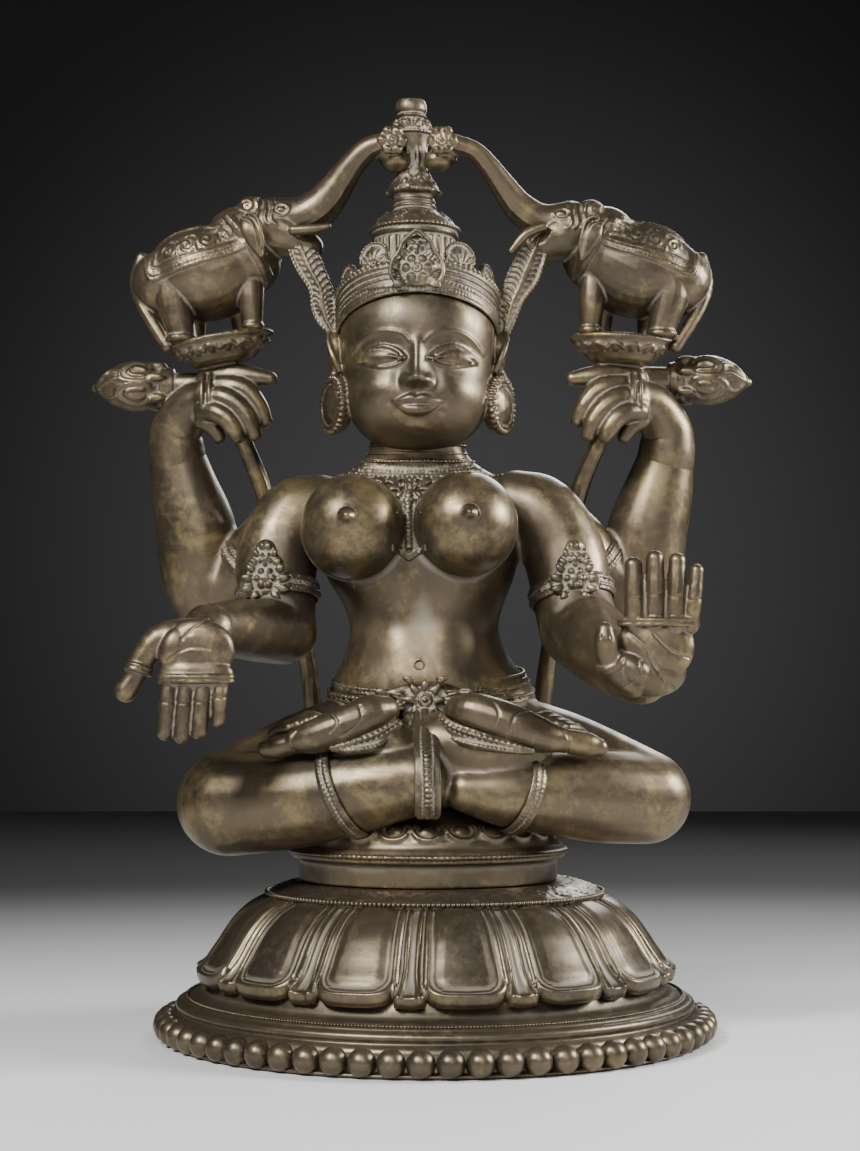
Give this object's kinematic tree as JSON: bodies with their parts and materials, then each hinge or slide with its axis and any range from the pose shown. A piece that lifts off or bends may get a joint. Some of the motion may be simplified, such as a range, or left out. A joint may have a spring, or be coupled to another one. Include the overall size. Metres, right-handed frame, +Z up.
{
  "type": "seated goddess figure",
  "caption": "Cast bronze goddess seated cross-legged between elephants that pour pots over the crown, on an upturned lotus plinth with a beaded foot.",
  "frame": {"origin": "centre of the plinth's underside, which stands on the floor", "axes": "+Z up, +X to the right of a viewer who faces the figure, and the figure looks towards -Y"},
  "size_m": [0.3511, 0.282, 0.4792],
  "materials": {
    "figure_bronze": "brown bronze, rubbed golden on the high places, pale dust in the carving",
    "plinth_bronze": "brown bronze, rubbed on the petals and beads"
  },
  "bodies": {
    "root": {"goddess_figure": "figure_bronze", "lotus_plinth": "plinth_bronze"}
  },
  "joints": []
}
